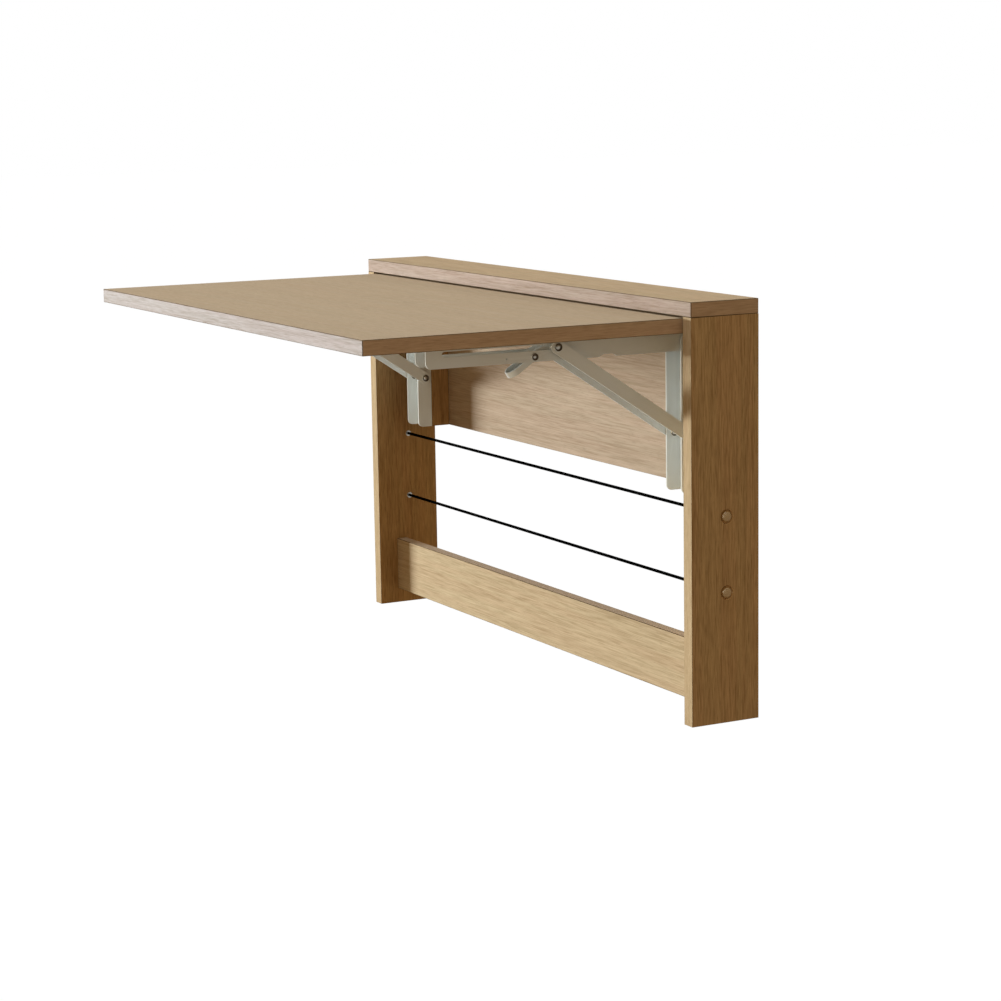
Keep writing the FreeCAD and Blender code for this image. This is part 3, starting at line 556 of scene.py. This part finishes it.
def turned(work, axis, middle, steps, segments=40):
    """Adds a solid turned about an axis from steps of place, radius and material, the ends on the axis."""
    index = "xyz".index(axis)
    across, up = [i for i in range(3) if i != index]
    rings = []
    for place, radius, _ in steps:
        count = segments if radius > 0 else 1
        ring = []
        for number in range(count):
            angle = 2 * math.pi * number / count
            point = Vector()
            point[index] = place
            point[across] = middle[across] + radius * math.cos(angle)
            point[up] = middle[up] + radius * math.sin(angle)
            ring.append(work.verts.new(point))
        rings.append(ring)
    for (one, other), step in zip(zip(rings, rings[1:]), steps[1:]):
        for number in range(segments):
            following = (number + 1) % segments
            if len(one) == 1:
                corners = (one[0], other[number], other[following])
            elif len(other) == 1:
                corners = (one[number], one[following], other[0])
            else:
                corners = (one[number], one[following], other[following], other[number])
            face = work.faces.new(corners)
            face.material_index = step[2]
            face.smooth = True


def rivet_end(place, inward, shank, head, height):
    """The end of a rivet, as steps from its middle: a dome, a sunk ring round it and a rolled rim."""
    floor = 0.75 * height
    return [
        (place + inward * 0.10 * height, 0.0, 0),
        (place + inward * 0.14 * height, 0.55 * shank, 0),
        (place + inward * 0.34 * height, 0.88 * shank, 0),
        # The sunk ring takes the near-black groove material: painted shade in the recess.
        (place + inward * floor, 0.98 * shank, 1),
        (place + inward * floor, head - 0.30 * (head - shank), 1),
        (place + inward * 0.35 * height, head - 0.22 * (head - shank), 1),
        (place + inward * 0.06 * height, head - 0.14 * (head - shank), 0),
        (place + inward * 0.16 * height, head - 0.04 * (head - shank), 0),
        (place + inward * 0.40 * height, head, 0),
    ]


def rivets_and_pins():
    """Rivets, pins and studs with grooved ends, as turned pieces."""
    dome = 0.6
    words = ("rivet", "corner_pin", "lever_pin", "slide_stud")
    for node in (name for name in SLOTS if any(word in name for word in words)):
        def build(work):
            for points in solids_of(node):
                middle, places = outline_of(points, "x")
                first, second, third, last = places[0], places[1], places[-2], places[-1]
                shank = second[1] if second[2] > second[1] else third[1]
                begin = rivet_end(first[0], 1, min(shank, dome * first[2]), first[2], second[0] - first[0])
                finish = rivet_end(last[0], -1, min(shank, dome * last[2]), last[2], last[0] - third[0])
                between = [(second[0], second[2], 0), (second[0], second[1], 0),
                           (third[0], third[1], 0), (third[0], third[2], 0)]
                turned(work, "x", middle, [*begin, *between, *reversed(finish)])
        piece = new_object(f"{node}_turned", mesh_of(build))
        dress(piece, node, ("rivet", "groove"))


def cap_nuts():
    """The tie rods' cap nuts: a round body with a bevelled foot, a groove and a full polished dome."""
    foot_share, bevel_share, body_share, groove_share = 0.93, 0.07, 0.5, 0.95
    rounds = 12

    def build(work):
        for points in solids_of("rod_nuts"):
            middle, _ = outline_of(points, "x")
            foot, tip = sorted((min(p.x for p in points), max(p.x for p in points)), key=abs)
            out = 1 if tip > foot else -1
            radius = max(p.z for p in points) - middle.z
            reach = abs(tip - foot)
            body = body_share * reach
            outline = [(0.0, 0.0), (0.0, foot_share * radius), (bevel_share * radius, radius),
                       (body - 0.5 * MM, radius), (body - 0.4 * MM, groove_share * radius),
                       (body - 0.1 * MM, groove_share * radius)]
            for number in range(rounds):
                angle = math.pi / 2 * number / rounds
                outline.append((body + (reach - body) * math.sin(angle), radius * math.cos(angle)))
            steps = [(foot + out * along, wide, 0) for along, wide in outline]
            turned(work, "x", middle, [*steps, (tip, 0.0, 0)])
    dress(new_object("rod_nuts_turned", mesh_of(build)), "rod_nuts", ("cap",))


def head_first(points, axis):
    """A screw's middle line, and its steps from the head to the tip."""
    middle, places = outline_of(points, axis)
    return middle, places if places[0][2] > places[-1][2] else places[::-1]


def screw(work, points, axis):
    """Adds a screw with a rounded head and a ridged thread."""
    pitch = 1.0 * MM
    middle, places = head_first(points, axis)
    (first, _, head), (neck, _, _), (last, _, _) = places[0], places[1], places[-1]
    sign = 1 if last > first else -1
    shank = min(low for _, low, _ in places)
    height = abs(neck - first)
    crown = ((0.04, 0.0), (0.06, 0.55), (0.2, 0.84), (0.5, 1.0))
    steps = [(first + sign * deep * height, wide * head, 0) for deep, wide in crown]
    steps += [(neck, head, 0), (neck, 0.97 * shank, 0)]
    place = neck + sign * pitch
    while sign * (last - place) > 2 * pitch:
        steps += [(place, 0.8 * shank, 0), (place + sign * pitch / 2, 0.99 * shank, 0)]
        place += sign * pitch
    turned(work, axis, middle, [*steps, (last, 0.0, 0)], segments=24)


def recess_cutter(middle, axis, place, turn):
    """A narrow block that cuts one slot of a cross recess."""
    def build(work):
        bmesh.ops.create_cube(work, size=1.0)
        long, wide, deep = 4.4 * MM, 0.9 * MM, 2.6 * MM
        lie = {"y": Matrix.Rotation(math.pi / 2, 4, "X"), "z": Matrix.Identity(4)}[axis]
        centre = Vector(middle)
        centre["xyz".index(axis)] = place
        work.transform(Matrix.Translation(centre) @ lie @ Matrix.Rotation(turn, 4, "Z")
                       @ Matrix.Diagonal((long, wide, deep, 1.0)))
    return new_object("recess", mesh_of(build))


def screws():
    """Screws with rounded heads, cross recesses and ridged threads."""
    for node, axis in (("wall_arm_screws", "y"), ("shelf_arm_screws", "z"), ("block_screws", "y")):
        solids = solids_of(node)

        def build(work):
            for points in solids:
                screw(work, points, axis)
        piece = new_object(f"{node}_turned", mesh_of(build))
        recesses = []
        for points in solids:
            middle, places = head_first(points, axis)
            for turn in (0.0, math.pi / 2):
                recesses.append(recess_cutter(middle, axis, places[0][0], turn))
        cut_away(piece, recesses, "recess")
        dress(piece, node, ("zinc",))


def lever_springs():
    """The lever springs, copied in spring steel and smooth shaded; on the desk their coils twist when a lever
    turns, one leg going with it, the other staying in the web.
    """
    for side in ("left", "right"):
        node = f"lever_spring_{side}"
        piece = new_object(f"{node}_wire", frame["nodes"][node].data.copy())
        piece.data.materials.clear()
        piece.data.materials.append(MATERIALS["spring"])
        for face in piece.data.polygons:
            face.material_index = 0
            face.use_smooth = True
        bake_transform(piece)
        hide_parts(node)


def carried_over():
    """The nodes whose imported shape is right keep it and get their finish, sheet metal with fine arrises."""
    for name, node in frame["nodes"].items():
        if SLOTS[name] not in FINISHES:
            continue
        for material_slot in node.material_slots:
            material_slot.material = MATERIALS[FINISHES[SLOTS[name]]]
        if SLOTS[name] == "bracket_steel":
            bevel = node.modifiers.new("arris", "BEVEL")
            bevel.width = SHEET_ARRIS
            bevel.segments = ARRIS_SEGMENTS
            bevel.limit_method = "ANGLE"
            bevel.angle_limit = math.radians(50)


# Surroundings

# Place, aim, size, watts, colour, and the kind of ray that doesn't see the light. The key comes from
# far to the left and low, as in the photograph. The sheen is there for the gloss on the nuts' domes.
LIGHTS = {
    "key": ((-10.6, -5.7, 0.6), (0, -0.1, -0.1), (2.9, 2.3), 3250, (0.86, 0.91, 0.93), "glossy"),
    "overhead": ((0.0, -0.8, 2.6), (0, -0.2, 0), (1.6, 1.6), 48, (0.74, 0.86, 1.0), None),
    "rear": ((-2.6, 2.4, 0.8), (0, 0, -0.1), (1.6, 1.6), 70, (1.0, 0.97, 0.94), "glossy"),
    "sheen": ((0.6, -4.0, 0.3), (0.44, -0.05, -0.15), (0.8, 1.6), 130, (1.0, 0.85, 0.62), "diffuse"),
}


def soft_light(name, centre, target, size, power, colour, blind):
    data = bpy.data.lights.new(name, "AREA")
    data.shape = "RECTANGLE"
    data.size, data.size_y = size
    data.energy = power
    data.color = colour
    lamp = bpy.data.objects.new(name, data)
    bpy.context.scene.collection.objects.link(lamp)
    lamp.location = centre
    lamp.rotation_euler = (Vector(target) - Vector(centre)).to_track_quat("-Z", "Y").to_euler()
    lamp.visible_glossy = blind != "glossy"
    lamp.visible_diffuse = blind != "diffuse"


def floor():
    """A plain white floor that lights nothing."""
    def build(work):
        bmesh.ops.create_grid(work, x_segments=1, y_segments=1, size=FLOOR_REACH,
                              matrix=Matrix.Translation((0, 0, FLOOR_LEVEL)))
    piece = new_object("floor", mesh_of(build))
    n = Nodes("floor")
    n.set("Base Color", (0.01, 0.01, 0.01, 1))
    n.set("Roughness", 0.9)
    n.set("Specular IOR Level", 0.0)
    n.set("Emission Color", (1, 1, 1, 1))
    n.set("Emission Strength", 1.0)
    piece.data.materials.append(n.material)
    piece.visible_diffuse = False
    piece.visible_glossy = False


def studio_world():
    """White to the camera, with a warm light of its own on surfaces and another in reflections."""
    world = bpy.data.worlds.new("studio")
    bpy.context.scene.world = world
    world.use_nodes = True
    tree = world.node_tree
    tree.nodes.clear()

    def background(colour, strength):
        node = tree.nodes.new("ShaderNodeBackground")
        node.inputs["Color"].default_value = (*colour, 1)
        node.inputs["Strength"].default_value = strength
        return node.outputs["Background"]

    def either(ray, usual, special):
        """The special shader for one kind of ray, and the usual one for the rest."""
        node = tree.nodes.new("ShaderNodeMixShader")
        tree.links.new(path.outputs[ray], node.inputs["Fac"])
        tree.links.new(usual, node.inputs[1])
        tree.links.new(special, node.inputs[2])
        return node.outputs["Shader"]

    path = tree.nodes.new("ShaderNodeLightPath")
    out = tree.nodes.new("ShaderNodeOutputWorld")
    unseen = either("Is Glossy Ray", background((1.0, 0.67, 0.35), 0.337), background((1.0, 0.95, 0.85), 0.5))
    both = either("Is Camera Ray", unseen, background((1, 1, 1), 1.0))
    tree.links.new(both, out.inputs["Surface"])


def studio():
    floor()
    studio_world()
    for name, settings in LIGHTS.items():
        soft_light(name, *settings)


def camera():
    """The photograph's viewing angle, from a fit to the frame's corners."""
    turn = {"yaw": 62.143, "pitch": 9.413, "roll": -0.921}
    focal_share = 2637.6 / 1001
    sensor = 36.0
    place = (3.0394, -1.7219, 0.4050)
    data = bpy.data.cameras.new("camera")
    data.sensor_width = sensor
    data.lens = focal_share * sensor
    data.clip_end = 100
    lens = bpy.data.objects.new("camera", data)
    bpy.context.scene.collection.objects.link(lens)
    level = Matrix.Rotation(math.pi / 2, 4, "X")
    yaw = Matrix.Rotation(math.radians(turn["yaw"]), 4, "Z")
    pitch = Matrix.Rotation(-math.radians(turn["pitch"]), 4, "X")
    roll = Matrix.Rotation(math.radians(turn["roll"]), 4, "Z")
    lens.matrix_world = Matrix.Translation(place) @ yaw @ level @ pitch @ roll
    bpy.context.scene.camera = lens


camera()
carried_over()
wood_parts()
rivets_and_pins()
cap_nuts()
lever_springs()
screws()
studio()
bpy.context.scene.view_settings.view_transform = "Standard"
